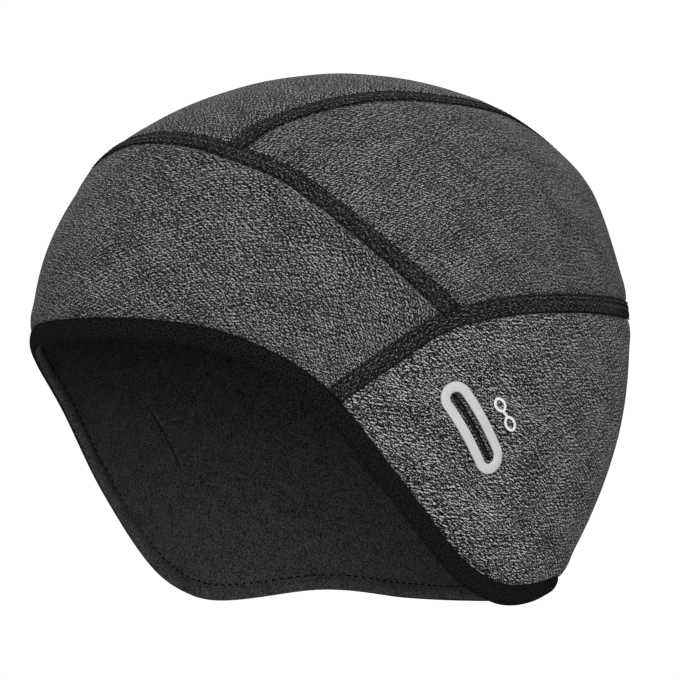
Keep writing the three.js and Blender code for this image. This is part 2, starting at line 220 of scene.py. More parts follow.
def path_through(rows):
    """A smooth path through the rows of a table."""
    mm_per_degree = math.radians(HALF_WIDTH)
    rows = np.array(rows, float)
    corners = np.stack([rows[:, 0] * mm_per_degree, fall_at(rows[:, 1])], 1)
    padded = np.vstack([corners[:1], corners, corners[-1:]])
    t = np.linspace(0, 1, STEPS_PER_ROW, endpoint=False)[:, None]
    parts = []
    for before, here, there, after in zip(padded, padded[1:], padded[2:], padded[3:]):
        lead, trail = (there - before) / 2, (after - here) / 2
        cubic = (2 * here - 2 * there + lead + trail) * t**3
        parts.append(cubic + (3 * there - 3 * here - 2 * lead - trail) * t**2 + lead * t + here)
    bends = np.vstack(parts + [corners[-1:]])
    turn = np.radians(bends[:, 0] / mm_per_degree)
    spots = np.stack([bends[:, 1] * np.sin(turn), -bends[:, 1] * np.cos(turn)], 1)
    return evened(spots, PATH_SPACING)


def crossing(path, other):
    """How many steps along a path it first crosses another."""
    p, r = path[:-1, None], np.diff(path, axis=0)[:, None]
    q, s = other[None, :-1], np.diff(other, axis=0)[None]
    den = r[..., 0] * s[..., 1] - r[..., 1] * s[..., 0]
    den = np.where(den == 0, 1e-12, den)
    d = q - p
    t = (d[..., 0] * s[..., 1] - d[..., 1] * s[..., 0]) / den
    u = (d[..., 0] * r[..., 1] - d[..., 1] * r[..., 0]) / den
    i, j = np.argwhere((t >= 0) & (t < 1) & (u >= 0) & (u < 1))[0]
    return i + t[i, j]


def at_steps(path, steps):
    """Places on a path at steps that may fall between its own places."""
    return np.stack([np.interp(steps, np.arange(len(path)), path[:, k]) for k in (0, 1)], 1)


def between(path, first, second):
    """The stretch of a path from its crossing with one path to its crossing with another."""
    start, end = crossing(path, first), crossing(path, second)
    if start > end:
        return between(path, second, first)[::-1]
    inner = np.arange(math.floor(start) + 1, math.ceil(end))
    return at_steps(path, np.concatenate([[start], inner, [end]]))


def until(path, other):
    """The stretch of a path from its start to its crossing with another."""
    end = crossing(path, other)
    return at_steps(path, np.concatenate([np.arange(math.ceil(end)), [end]]))


def beyond(path, other):
    """The stretch of a path from its last crossing with another to its end."""
    return until(path[::-1], other)[::-1]


def other_side(path):
    return path * [-1, 1]


front_rows = [(-b, level) for b, level in FRONT_SEAM[:0:-1]] + FRONT_SEAM
side_rows = SIDE_SEAM + [(360 - b, level) for b, level in SIDE_SEAM[-2::-1]]
front_path = path_through(front_rows)
side_path = path_through(side_rows)
all_round = np.arange(0, 360, 0.25)
hem_path = evened(spot_at(all_round, level_on(HEM_EDGE, all_round)), HEM_SPACING, closed=True)

MIDDLE_FRONT = np.array([[0, -400], [0, -1]])
MIDDLE_BACK = np.array([[0, 1], [0, 400]])
front_low = beyond(beside(front_path, -GAP / 2), MIDDLE_FRONT)
side_high = until(beside(side_path, SIDE_SEAM_WIDTH + GAP / 2), MIDDLE_BACK)
hem_high = beside(hem_path, HEM_FRONT_WIDTH + GAP / 2, closed=True)
hem_left = hem_high[: len(hem_high) // 2 + 1]


def grain(spots, middle, cone, level, turned=0):
    """Where each place lay on the flat cloth, in mm along and across its knitted rows."""
    fall = np.hypot(spots[:, 0], spots[:, 1])
    bearing = np.degrees(np.arctan2(spots[:, 0], -spots[:, 1]))
    off = np.radians((bearing - middle + 180) % 360 - 180) * cone
    radius = HALF_WIDTH * math.sin(min(level, 1) * math.pi / 2) / cone
    reach = radius + fall - fall_at(level)
    u, v = reach * np.sin(off), -reach * np.cos(off)
    c, s = math.cos(math.radians(turned)), math.sin(math.radians(turned))
    return np.stack([u * c + v * s, v * c - u * s], 1)


def inside_loops(points, loops):
    """Which points lie inside closed loops, the ones in a hole left out."""
    inside = np.zeros(len(points), bool)
    for loop in loops:
        for a, b in zip(loop, np.roll(loop, -1, 0)):
            if a[1] == b[1]:
                continue
            level = (a[1] > points[:, 1]) != (b[1] > points[:, 1])
            reach = (b[0] - a[0]) * (points[:, 1] - a[1]) / (b[1] - a[1]) + a[0]
            inside ^= level & (points[:, 0] < reach)
    return inside


def nearest(points, targets):
    """The distance from each point to its nearest target, and which target that is."""
    tree = KDTree(len(targets))
    for i, p in enumerate(targets):
        tree.insert(p, i)
    tree.balance()
    found = [tree.find(p) for p in points]
    return np.array([f[2] for f in found]), np.array([f[1] for f in found])


# Rows of a mesh of even triangles lie this share of their spacing apart
ROW_SHARE = 0.866
# They stay this share of their spacing clear of the rows that follow the edges
CLEAR_OF_EDGE = 0.55
# A place of an edge row that lies nearer to a rim than this share of its distance is dropped
KEPT_OFF_RIM = 0.93


def cloth_sheet(edges, holes, spacing, edge_rows, flatten):
    """A fine mesh of places inside the edges, closer together beside them."""
    loops = [np.vstack([e["path"][:-1] for e in edges])] + [h["path"] for h in holes]
    area = np.cross(loops[0], np.roll(loops[0], -1, 0)).sum()
    if area < 0:
        loops[0] = loops[0][::-1]
    spots = list(loops)
    rims = form(np.vstack(loops))
    for n, loop in enumerate(loops):
        inward = along_and_left(loop, closed=True)[1]
        turned = np.cross(loop, np.roll(loop, -1, 0)).sum() < 0
        if n > 0 and not turned:
            inward = -inward
        for distance in edge_rows:
            row = step(loop, inward, distance)
            keep = nearest(form(row), rims)[0] > KEPT_OFF_RIM * distance
            spots.append(row[keep])
    every = np.vstack(loops)
    falls = np.hypot(every[:, 0], every[:, 1])
    high = 0 if inside_loops(np.zeros((1, 2)), loops[:1])[0] else falls.min()
    rows = []
    for k, fall in enumerate(np.arange(high + spacing / 2, falls.max(), spacing * ROW_SHARE)):
        girdle = form(spot_from(np.arange(0, 361, 4), fall))
        girth = np.linalg.norm(np.diff(girdle, axis=0), axis=1).sum()
        count = max(round(girth / spacing), 5)
        rows.append(spot_from((np.arange(count) + 0.5 * (k % 2)) * 360 / count, fall))
    grid = np.vstack(rows)
    grid = grid[inside_loops(grid, loops)]
    clear = nearest(form(grid), rims)[0] > edge_rows[-1] + CLEAR_OF_EDGE * spacing
    spots.append(grid[clear])
    spots = np.vstack(spots)
    ties, start = [], 0
    for loop in loops:
        n = len(loop)
        ties += [(start + i, start + (i + 1) % n) for i in range(n)]
        start += n
    flat = flatten(spots)
    made = delaunay_2d_cdt([Vector(p) for p in flat], ties, [], 0, 1e-7)
    source = [ids[0] for ids in made[3]]
    faces = np.array([[source[i] for i in f] for f in made[2]])
    first, second, third = (spots[faces[:, k]] for k in range(3))
    sign = np.cross(second - first, third - first)
    faces[sign < 0] = faces[sign < 0][:, ::-1]
    faces = faces[np.abs(sign) > 1e-9]
    # A face whose corners all lie on the edges may bridge a notch or a hole, and is dropped then
    suspect = (faces < start).all(1)
    centres = flat[faces[suspect]].mean(1)
    flat_loops, start = [], 0
    for loop in loops:
        flat_loops.append(flat[start : start + len(loop)])
        start += len(loop)
    drop = np.zeros(len(faces), bool)
    drop[suspect] = ~inside_loops(centres, flat_loops)
    faces = faces[~drop]
    return spots, faces, loops


def mesh_piece(name, points, faces, uvs, material):
    """A mesh in metres from points in mm, with the places on the flat cloth as its UV map."""
    mesh = bpy.data.meshes.new(name)
    placed = (np.asarray(points) + [0, 0, RISE]) / 1000
    mesh.from_pydata(placed.tolist(), [], [list(f) for f in faces])
    mesh.validate()
    layer = mesh.uv_layers.new(name="flat_cloth")
    corner = np.zeros(len(mesh.loops), np.int32)
    mesh.loops.foreach_get("vertex_index", corner)
    layer.data.foreach_set("uv", np.asarray(uvs)[corner].ravel())
    mesh.polygons.foreach_set("use_smooth", [True] * len(mesh.polygons))
    mesh.materials.append(material)
    piece = bpy.data.objects.new(name, mesh)
    bpy.context.scene.collection.objects.link(piece)
    return piece


def roll(distance, depth, width):
    """How far an edge has rolled down at a distance from it."""
    t = 1 - np.clip(distance / width, 0, 1)
    return depth * (1 - np.sqrt(1 - t * t))


# Beside a seam the cloth swells most at some mm from it, and the needle puckers it in waves.
# All over, it wanders slightly in and out, as cloth on a head does.
SWELL_FROM_EDGE = 4.5
SWELL_SPREAD = 3
PUCKER_WAVES = 4
SHORTEST_WAVE = 5
LONGEST_WAVE = 11
PUCKER_REACH = 5
WANDER = 0.35
BROAD_WANDER = 31.0
CLOSE_WANDER = 13.0
SEWN_DOWN = 0.15


def cloth_panel(
    name, edges, lay, material, holes=(), spacing=1.7, calm=None, under=0.0,
    edge_rows=(0.15, 0.4, 0.75, 1.2, 1.8, 2.6, 3.6), flatten=lambda spots: spots,
):
    """A wall of cloth with rolled edges, the swell beside them and the slight puckers of sewing."""
    spots, faces, loops = cloth_sheet(edges, holes, spacing, edge_rows, flatten)
    base = form(spots)
    sunk = np.zeros(len(spots))
    height = np.zeros(len(spots))
    draw = random.Random(name)
    for edge in list(edges) + list(holes):
        rim = form(edge["path"])
        distance, index = nearest(base, rim)
        run = run_along(rim)[index]
        sunk += roll(distance, edge["roll"], edge["roll_width"]) ** 4
        height += edge["swell"] * np.exp(-(((distance - SWELL_FROM_EDGE) / SWELL_SPREAD) ** 2))
        ripple = 0
        for _ in range(PUCKER_WAVES):
            wave = draw.uniform(SHORTEST_WAVE, LONGEST_WAVE)
            ripple = ripple + np.sin(run * 2 * math.pi / wave + draw.uniform(0, 6.3))
        reach = np.exp(-distance / PUCKER_REACH) * np.clip(distance / 2, 0, 1)
        height += edge["pucker"] * ripple / 2 * reach
    wander = np.array([
        noise.noise(Vector(p / BROAD_WANDER)) + 0.4 * noise.noise(Vector(p / CLOSE_WANDER))
        for p in base
    ])
    if calm is not None:
        wander *= calm(spots)
    height += WANDER * wander - sunk**0.25 - SEWN_DOWN
    normal = directions(spots)[2]
    outer = base + normal * (height - under)[:, None]
    inner = outer - normal * CLOTH
    count = len(spots)
    rim_faces, start = [], 0
    for n, loop in enumerate(loops):
        ids = [start + i for i in range(len(loop))]
        start += len(loop)
        leftward = np.cross(loop, np.roll(loop, -1, 0)).sum() > 0
        for a, b in zip(ids, ids[1:] + ids[:1]):
            if leftward != (n == 0):
                a, b = b, a
            rim_faces.append((b, a, a + count, b + count))
    every = [tuple(f) for f in faces] + [tuple(f[::-1] + count) for f in faces] + rim_faces
    uvs = np.vstack([lay(spots)] * 2)
    return mesh_piece(name, np.vstack([outer, inner]), every, uvs, material)


def add_node(tree, kind, feeds=(), **settings):
    """A node with its settings, and for each input a value or the node or socket that feeds it."""
    made = tree.nodes.new(kind)
    for key, value in settings.items():
        setattr(made, key, value)
    for key, value in dict(feeds).items():
        if isinstance(value, bpy.types.Node):
            value = value.outputs[0]
        if isinstance(value, bpy.types.NodeSocket):
            tree.links.new(value, made.inputs[key])
        else:
            made.inputs[key].default_value = value
    return made


def linear(hexed):
    """A hex colour as it is seen, turned to linear light."""
    parts = [int(hexed[i : i + 2], 16) / 255 for i in (1, 3, 5)]
    return [c / 12.92 if c <= 0.04045 else ((c + 0.055) / 1.055) ** 2.4 for c in parts] + [1]


def new_material(name):
    made = bpy.data.materials.new(name)
    made.use_nodes = True
    made.node_tree.nodes.clear()
    return made, made.node_tree


# The cloth is a fine jersey of mixed yarns, dark with pale flecks. A row of loops is about
# 0.4 mm high, and a pale yarn shows for 1 to 3 mm before it goes under again. The rows drift up
# and down by about a millimetre over 10 mm or so, and each loop has a grit of loose fibres.
KNIT_ROW = 0.36
FLECK = 1.6
ROW_DRIFT = 1.2
PATCHES_PER_MM = (0.07, 0.12, 0)
GRIT_PER_MM = (1.9, 3.0, 0)
# The yarn of a row starts up to this many flecks along, so that no two rows look alike
UNLIKE_ROWS = 977.0
HIDING = -0.8
PATCH_SHARE = 0.15


def heather_knit(name, dark, middle, pale, fleck=FLECK):
    """Jersey of dark and pale yarns: short pale dashes that follow the knitted rows."""
    material, tree = new_material(name)
    cloth = add_node(tree, "ShaderNodeUVMap", uv_map="flat_cloth")
    far = add_node(tree, "ShaderNodeVectorMath", {
        0: cloth, 1: PATCHES_PER_MM,
    }, operation="MULTIPLY")
    drift = add_node(tree, "ShaderNodeTexNoise", {"Vector": far, "Scale": 1.0, "Detail": 1.0})
    axes = add_node(tree, "ShaderNodeSeparateXYZ", {0: cloth})
    lift = add_node(tree, "ShaderNodeMath", {
        0: drift, 1: ROW_DRIFT, 2: axes.outputs[1],
    }, operation="MULTIPLY_ADD")
    rows = add_node(tree, "ShaderNodeMath", {0: lift, 1: KNIT_ROW}, operation="DIVIDE")
    row = add_node(tree, "ShaderNodeMath", {0: rows}, operation="FLOOR")
    next_row = add_node(tree, "ShaderNodeMath", {0: row, 1: 1.0})
    across = add_node(tree, "ShaderNodeMath", {0: rows}, operation="FRACT")
    length = add_node(tree, "ShaderNodeMath", {0: axes, 1: fleck}, operation="DIVIDE")
    yarns = []
    for which in (row, next_row):
        slide = add_node(tree, "ShaderNodeTexWhiteNoise", {"W": which}, noise_dimensions="1D")
        along = add_node(tree, "ShaderNodeMath", {
            0: slide, 1: UNLIKE_ROWS, 2: length,
        }, operation="MULTIPLY_ADD")
        yarn = add_node(tree, "ShaderNodeTexNoise", {
            "W": along, "Scale": 1.0, "Detail": 2.0, "Roughness": 0.6,
        }, noise_dimensions="1D")
        yarns.append(yarn)
    # Where the next row's yarn is pale it lies in front, and this row's is hidden
    hidden = add_node(tree, "ShaderNodeMath", {
        0: yarns[1], 1: HIDING, 2: yarns[0],
    }, operation="MULTIPLY_ADD")
    close = add_node(tree, "ShaderNodeVectorMath", {0: cloth, 1: GRIT_PER_MM}, operation="MULTIPLY")
    grit = add_node(tree, "ShaderNodeTexNoise", {"Vector": close, "Scale": 1.0, "Detail": 1.0})
    patch = add_node(tree, "ShaderNodeTexNoise", {"Vector": far, "Scale": 1.0, "Detail": 2.0})
    mixed = add_node(tree, "ShaderNodeMath", {0: grit, 1: 1.0, 2: hidden}, operation="MULTIPLY_ADD")
    tone = add_node(tree, "ShaderNodeMath", {
        0: patch, 1: PATCH_SHARE, 2: mixed,
    }, operation="MULTIPLY_ADD")
    share = add_node(tree, "ShaderNodeMapRange", {
        "Value": tone, "From Min": 0.44, "From Max": 0.99,
    })
    ramp = add_node(tree, "ShaderNodeValToRGB", {0: share})
    ramp.color_ramp.elements[0].color = linear(dark)
    ramp.color_ramp.elements[0].position = 0.12
    ramp.color_ramp.elements[1].color = linear(pale)
    ramp.color_ramp.elements[1].position = 0.88
    ramp.color_ramp.elements.new(0.5).color = linear(middle)
    # Loops stand up between the rows, and the pale yarns a little higher than the dark ones
    arch = add_node(tree, "ShaderNodeMath", {0: across, 1: math.pi}, operation="MULTIPLY")
    loop = add_node(tree, "ShaderNodeMath", {0: arch}, operation="SINE")
    relief = add_node(tree, "ShaderNodeMath", {0: share, 1: 0.8, 2: loop}, operation="MULTIPLY_ADD")
    bump = add_node(tree, "ShaderNodeBump", {
        "Strength": 0.3, "Distance": 0.00012, "Height": relief,
    })
    shader = add_node(tree, "ShaderNodeBsdfPrincipled", {
        "Base Color": ramp, "Roughness": 0.95, "Specular IOR Level": 0.06,
        "Sheen Weight": 0.05, "Sheen Roughness": 0.5, "Normal": bump,
    })
    add_node(tree, "ShaderNodeOutputMaterial", {0: shader})
    return material


grey_jersey = heather_knit("heathered_polyester_jersey", "#080809", "#303031", "#adadae")


def edge(path, roll=0.9, roll_width=1.4, swell=0.3, pucker=0.1):
    """An edge of a piece, and how far in mm its cloth rolls down, swells and puckers there."""
    path = evened(path, EDGE_SPACING)
    return dict(path=path, roll=roll, roll_width=roll_width, swell=swell, pucker=pucker)


def both_sides(half):
    """The edges of a piece that is the same on both sides, from those of its left half."""
    rest = [dict(e, path=other_side(e["path"][::-1])) for e in half[::-1]]
    return half + rest


front_panel = cloth_panel(
    "front_panel_jersey",
    both_sides([
        edge(until(front_low, side_high), roll=1.0, roll_width=1.6, swell=0.35),
        edge(between(side_high, front_low, hem_left), roll=0.6, roll_width=1.2, swell=0.2),
        edge(until(hem_left, side_high)[::-1], roll=1.0, roll_width=1.8, swell=0.45),
    ]),
    lambda spots: grain(spots, middle=0, cone=0.75, level=0.85, turned=4),
    grey_jersey,
)


def dressed(piece, slot, *nodes):
    """The piece moves with the cap and stands for CAD nodes, which it hides; its slot is not used.
    """
    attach(piece, "root")
    if nodes:
        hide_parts(*nodes)


dressed(front_panel, "grey_knit", "front_panel")

# Crown centre panel
# A strip of the same jersey over the top of the head, from the front seam to the seam at the
# back, with its knitted rows a little off square to the head. It is sewn in on all four sides.
CROWN_GRAIN_TURN = 15
CROWN_SEAM_WIDTH = 5.8
CROWN_SEAM = [
    (26.5, 0.62), (30.7, 0.526), (36, 0.449), (50, 0.367), (72, 0.317), (98, 0.315),
    (135, 0.346), (152, 0.47), (158.5, 0.62), (161.5, 0.85), (162, 1.02),
]
crown_path = path_through(CROWN_SEAM)
crown_inner = beside(crown_path, CROWN_SEAM_WIDTH / 2 + GAP / 2)
crown_outer = beside(crown_path, -CROWN_SEAM_WIDTH / 2 - GAP / 2)
front_high = beyond(beside(front_path, FRONT_SEAM_WIDTH + GAP / 2), MIDDLE_FRONT)
c, s = math.cos(math.radians(CROWN_GRAIN_TURN)), math.sin(math.radians(CROWN_GRAIN_TURN))
CROWN_LAY = np.array([[c, s], [-s, c]])
crown_centre = cloth_panel(
    "crown_centre_jersey",
    both_sides([
        edge(until(front_high, crown_inner), roll=0.4, roll_width=1.2, swell=0.1),
        edge(between(crown_inner, front_high, side_high), roll=0.7),
        edge(beyond(side_high, crown_inner), roll=0.6),
    ]),
    lambda spots: spots @ CROWN_LAY,
    grey_jersey,
)
dressed(crown_centre, "grey_knit", "crown_centre_panel")

# Crown side panels
# Two pieces of the same jersey, mirror images, that fill the side of the crown between the
# front seam, the crown seam and the seam over the ear.


def mirrored(piece, name):
    """The same piece for the other side of the cap."""
    mesh = piece.data.copy()
    spots = np.zeros(len(mesh.vertices) * 3)
    mesh.vertices.foreach_get("co", spots)
    mesh.vertices.foreach_set("co", (spots.reshape(-1, 3) * [-1, 1, 1]).ravel())
    mesh.flip_normals()
    mesh.name = name
    made = bpy.data.objects.new(name, mesh)
    bpy.context.scene.collection.objects.link(made)
    return made


crown_side_left = cloth_panel(
    "crown_side_jersey_left",
    [
        edge(between(front_high, crown_outer, side_high), roll=0.5, roll_width=1.6, swell=0.0),
        edge(between(side_high, front_high, crown_outer), roll=0.6, swell=0.25),
        edge(between(crown_outer, side_high, front_high), roll=0.8),
    ],
    lambda spots: grain(spots, middle=95, cone=0.8, level=0.7, turned=-12),
    grey_jersey,
)
dressed(crown_side_left, "grey_knit", "crown_side_panel_left")
crown_side_right = mirrored(crown_side_left, "crown_side_jersey_right")
dressed(crown_side_right, "grey_knit", "crown_side_panel_right")

# Ear and nape panel
# One piece of the same jersey round the back of the head, with a flap over each ear. Each flap
# has a slot for the temple of a pair of glasses, its edges turned in to a narrow dark gap.
SLOT_BEARING = 84.7
SLOT_LEVEL = 1.34
SLOT_LENGTH = 22
SLOT_TILT = 34.6
SLIT_WIDTH = 0.7
slot_middle = spot_at(SLOT_BEARING, SLOT_LEVEL)[None]


def beside_slot(across, along):
    """Places some mm across and along the left slot, which runs down and to the back."""
    _, _, normal = directions(slot_middle)
    turn = form(spot_at(SLOT_BEARING + 0.5, SLOT_LEVEL))
    turn = turn - form(spot_at(SLOT_BEARING - 0.5, SLOT_LEVEL))
    turn /= np.linalg.norm(turn)
    down = np.cross(turn, normal)
    lengthways = down * math.cos(math.radians(SLOT_TILT)) + turn * math.sin(math.radians(SLOT_TILT))
    sideways = np.cross(normal, lengthways)
    start = np.repeat(slot_middle, np.size(across), 0)
    moved = step(start, sideways, across)
    return step(moved, lengthways, along)


def round_ended(length, width, count):
    """Places round a loop with straight sides and round ends, lying on the slot."""
    t = np.arange(count) / count
    radius = width / 2
    half = length / 2 - radius
    run = t * (4 * half + 2 * math.pi * radius)
    bend = math.pi * radius
    across, along = np.zeros(count), np.zeros(count)
    for i, r in enumerate(run):
        if r < 2 * half:
            across[i], along[i] = radius, -half + r
        elif r < 2 * half + bend:
            turn = (r - 2 * half) / radius
            across[i], along[i] = radius * math.cos(turn), half + radius * math.sin(turn)
        elif r < 4 * half + bend:
            across[i], along[i] = -radius, half - (r - 2 * half - bend)
        else:
            turn = (r - 4 * half - bend) / radius
            across[i], along[i] = -radius * math.cos(turn), -half - radius * math.sin(turn)
    return across, along


HOLE_POINTS = 96


def slot_holes(width, **finish):
    """The holes of both slots in a piece, the right one mirrored from the left."""
    loop = beside_slot(*round_ended(SLOT_LENGTH, width, HOLE_POINTS))
    hole = dict(edge(loop), path=loop, swell=0, pucker=0, **finish)
    return [hole, dict(hole, path=other_side(loop[::-1]))]


PRINT_KEEPS_FLAT = 18
PRINT_LETS_GO_OVER = 14
MM_PER_DEGREE_OF_BEARING = 1.45


def away_from_slot(spots):
    """0 near the slots, where the print keeps the cloth flat, and 1 away from them."""
    folded = np.abs(spots) * [1, 0] + spots * [0, 1]
    reach = np.linalg.norm(form(folded) - form(slot_middle), axis=1)
    return np.clip((reach - PRINT_KEEPS_FLAT) / PRINT_LETS_GO_OVER, 0, 1)


def unrolled(spots):
    """The band round the back, laid out straight."""
    bearing = np.degrees(np.arctan2(spots[:, 0], -spots[:, 1])) % 360
    fall = np.hypot(spots[:, 0], spots[:, 1])
    return np.stack([bearing * MM_PER_DEGREE_OF_BEARING, fall], 1)


# The cloth is stretched most here, which parts its yarns and shows both more strongly; its middle
# tone is also painted darker, as shade on the ear flaps
STRETCHED_FLECK = 2.3
stretched_and_shaded_jersey = heather_knit(
    "heathered_jersey_stretched", "#040405", "#292929", "#cdcdce", fleck=STRETCHED_FLECK
)
side_low = until(beside(side_path, -GAP / 2), MIDDLE_BACK)
ear_and_nape = cloth_panel(
    "ear_and_nape_jersey",
    both_sides([
        edge(beyond(side_low, hem_left)[::-1], roll=0.9, roll_width=1.6, swell=0.35),
        edge(beyond(hem_left, side_low), roll=1.0, roll_width=1.8, swell=0.45),
    ]),
    lambda spots: grain(spots, middle=180, cone=-0.21, level=1.3),
    stretched_and_shaded_jersey,
    holes=slot_holes(SLIT_WIDTH, roll=0.6, roll_width=0.9),
    calm=away_from_slot,
    flatten=unrolled,
)

# The twist of the thread is painted as light and dark about 0.4 mm apart: painted highlight and
# shade
TWISTS_PER_METRE = 2600.0


def thread_material(name, colour):
    """Spun polyester thread: matt, with painted highlight and shade along its twist."""
    material, tree = new_material(name)
    place = add_node(tree, "ShaderNodeTexCoord")
    twist = add_node(tree, "ShaderNodeTexNoise", {
        "Vector": place.outputs["Object"], "Scale": TWISTS_PER_METRE, "Detail": 1.0,
    })
    tone = add_node(tree, "ShaderNodeValToRGB", {0: twist})
    tone.color_ramp.elements[0].position = 0.35
    tone.color_ramp.elements[1].position = 0.7
    # Painted shade and painted highlight of the twist
    tone.color_ramp.elements[0].color = [c * 0.6 for c in linear(colour)[:3]] + [1]
    tone.color_ramp.elements[1].color = [min(c * 1.9, 1) for c in linear(colour)[:3]] + [1]
    bump = add_node(tree, "ShaderNodeBump", {"Strength": 0.5, "Distance": 0.0001, "Height": twist})
    shader = add_node(tree, "ShaderNodeBsdfPrincipled", {
        "Base Color": tone, "Roughness": 0.85, "Specular IOR Level": 0.1,
        "Normal": bump,
    })
    add_node(tree, "ShaderNodeOutputMaterial", {0: shader})
    return material


# Round each slot the cloth is turned in. Inside the ring it is painted darker, partly its darker
# wrong side and partly painted shade of the dip down to the slit, and along the slit itself it is
# painted black as painted shadow of the gap
TURNED_IN_AND_SHADED = 3.4
SLIT_SHADOW_REACH = 0.85
# A darker copy of the jersey: the wrong side, with painted shade of the dip round the slit
turned_in_and_shaded = heather_knit("wrong_side_of_jersey", "#070708", "#29292a", "#9a9a9b")
# Painted shadow of the slit: black faces along its edge stand in for the dark of the gap
slit_shadow = thread_material("painted_shadow_round_slit", "#050505")
ear_and_nape.data.materials.append(turned_in_and_shaded)
ear_and_nape.data.materials.append(slit_shadow)
line_places = np.linspace(-0.5, 0.5, 60) * SLOT_LENGTH
slot_line = form(beside_slot(0 * line_places, line_places)) + [0, 0, RISE]
face_count = len(ear_and_nape.data.polygons)
centres = np.zeros(face_count * 3)
ear_and_nape.data.polygons.foreach_get("center", centres)
centres = centres.reshape(-1, 3) * 1000
centres[:, 0] = np.abs(centres[:, 0])
reach = nearest(centres, slot_line)[0]
finish = (reach < TURNED_IN_AND_SHADED).astype(np.int32) + (reach < SLIT_SHADOW_REACH)
ear_and_nape.data.polygons.foreach_set("material_index", finish)
dressed(ear_and_nape, "grey_knit", "ear_and_nape_panel")

# Seams
# Flat overlocked seams of black thread: four rows of needle stitches with looper threads laid
# across between them, over the cut edges of the jersey. They are sewn after the pieces meet,
# so they cover the joint, and each needle row draws the seam down a little.


def swept(name, path, profile, material, closed=False, relief=None):
    """A strip along a path, from a closed profile of mm to the left of it and mm of height."""
    profile = np.array(profile, float)
    if np.cross(profile, np.roll(profile, -1, 0)).sum() > 0:
        profile = profile[::-1]
    run = run_along(form(path))
    left = along_and_left(path, closed)[1]
    rings, uvs = [], []
    for (across, height), girth in zip(profile, run_along(profile)):
        lift = height + (relief(run, height) if relief else 0)
        rings.append(on_cloth(step(path, left, across), np.broadcast_to(lift, run.shape)))
        uvs.append(np.stack([run, np.full(len(run), girth)], 1))
    points, uvs = np.stack(rings, 1).reshape(-1, 3), np.stack(uvs, 1).reshape(-1, 2)
    n, sides = len(path), len(profile)
    faces = []
    for i in range(n if closed else n - 1):
        for j in range(sides):
            k, m = (j + 1) % sides, (i + 1) % n
            faces.append((i * sides + j, m * sides + j, m * sides + k, i * sides + k))
    if not closed:
        faces.append(tuple(range(sides)))
        faces.append(tuple(range((n - 1) * sides, n * sides))[::-1])
    return mesh_piece(name, points, faces, uvs, material)


def needle_rows(width):
    """One row along the lower edge, where the seam was turned, and three above it."""
    return [0.1, 2.1, width - 1.5, width - 0.35]


SEAM_ARCH = 0.34
SEAM_SUNK = 0.1
LOWER_EDGE_DROP, LOWER_EDGE_REACH = 0.8, 0.32
UPPER_EDGE_DROP, UPPER_EDGE_REACH = 0.35, 0.25
NEEDLE_PRESS, NEEDLE_PRESS_REACH = 0.12, 0.4
SEAM_BACK = -1.2


def seam_profile(start, width):
    """The seam's section: arched, turned down at both edges, pressed in along each needle row."""
    across = np.linspace(0.04, width - 0.04, 25)
    arch = SEAM_ARCH * np.sin(math.pi * across / width) ** 0.4 - SEAM_SUNK
    drop = LOWER_EDGE_DROP * np.exp(-((across / LOWER_EDGE_REACH) ** 2))
    drop = drop + UPPER_EDGE_DROP * np.exp(-(((width - across) / UPPER_EDGE_REACH) ** 2))
    pressed = sum(
        NEEDLE_PRESS * np.exp(-(((across - row) / NEEDLE_PRESS_REACH) ** 2))
        for row in needle_rows(width)
    )
    top = list(zip(start + across, arch - drop - pressed))
    return top + [(start + width - 0.1, SEAM_BACK), (start + 0.1, SEAM_BACK)]


NEEDLE_PITCH = 2.2
DRAWN_IN = 0.05


def drawn_in(run, height):
    """The top of the seam rises and falls slightly with each stitch."""
    return DRAWN_IN * np.cos(run * 2 * math.pi / NEEDLE_PITCH) * (height > SEAM_BACK / 2)


seam_jersey = heather_knit("jersey_under_overlock_thread", "#060607", "#1d1d1e", "#747475")
black_thread = thread_material("black_spun_polyester_thread", "#101011")

# Each stitch is a short bowed length of thread whose ends go down into the cloth
stitches = bpy.data.node_groups.new("sewn_stitches", "GeometryNodeTree")
stitches.interface.new_socket("Geometry", in_out="INPUT", socket_type="NodeSocketGeometry")
for label, value in (("Length", 2.0), ("Thickness", 0.3), ("Bow", 0.2), ("Sink", 0.1)):
    made = stitches.interface.new_socket(label, in_out="INPUT", socket_type="NodeSocketFloat")
    made.default_value = value
stitches.interface.new_socket("Seed", in_out="INPUT", socket_type="NodeSocketInt")
stitches.interface.new_socket("Thread", in_out="INPUT", socket_type="NodeSocketMaterial")
stitches.interface.new_socket("Geometry", in_out="OUTPUT", socket_type="NodeSocketGeometry")
sizes = add_node(stitches, "NodeGroupInput").outputs
half = add_node(stitches, "ShaderNodeMath", {0: sizes["Length"], 1: 0.5}, operation="MULTIPLY")
back = add_node(stitches, "ShaderNodeMath", {0: sizes["Length"], 1: -0.5}, operation="MULTIPLY")
sunk = add_node(stitches, "ShaderNodeMath", {0: sizes["Sink"], 1: -1.0}, operation="MULTIPLY")
top = add_node(stitches, "ShaderNodeMath", {
    0: sizes["Bow"], 1: 2.0, 2: sizes["Sink"],
}, operation="MULTIPLY_ADD")
starts = add_node(stitches, "ShaderNodeCombineXYZ", {0: back, 2: sunk})
ends = add_node(stitches, "ShaderNodeCombineXYZ", {0: half, 2: sunk})
peak = add_node(stitches, "ShaderNodeCombineXYZ", {2: top})
bowed = add_node(stitches, "GeometryNodeCurveQuadraticBezier", {
    "Resolution": 5, "Start": starts, "Middle": peak, "End": ends,
})
girth = add_node(stitches, "ShaderNodeMath", {0: sizes["Thickness"], 1: 0.5}, operation="MULTIPLY")
round_thread = add_node(stitches, "GeometryNodeCurvePrimitiveCircle", {
    "Resolution": 6, "Radius": girth,
})
thread = add_node(stitches, "GeometryNodeCurveToMesh", {
    "Curve": bowed, "Profile Curve": round_thread, "Fill Caps": True,
})
soft = add_node(stitches, "GeometryNodeSetShadeSmooth", {0: thread})
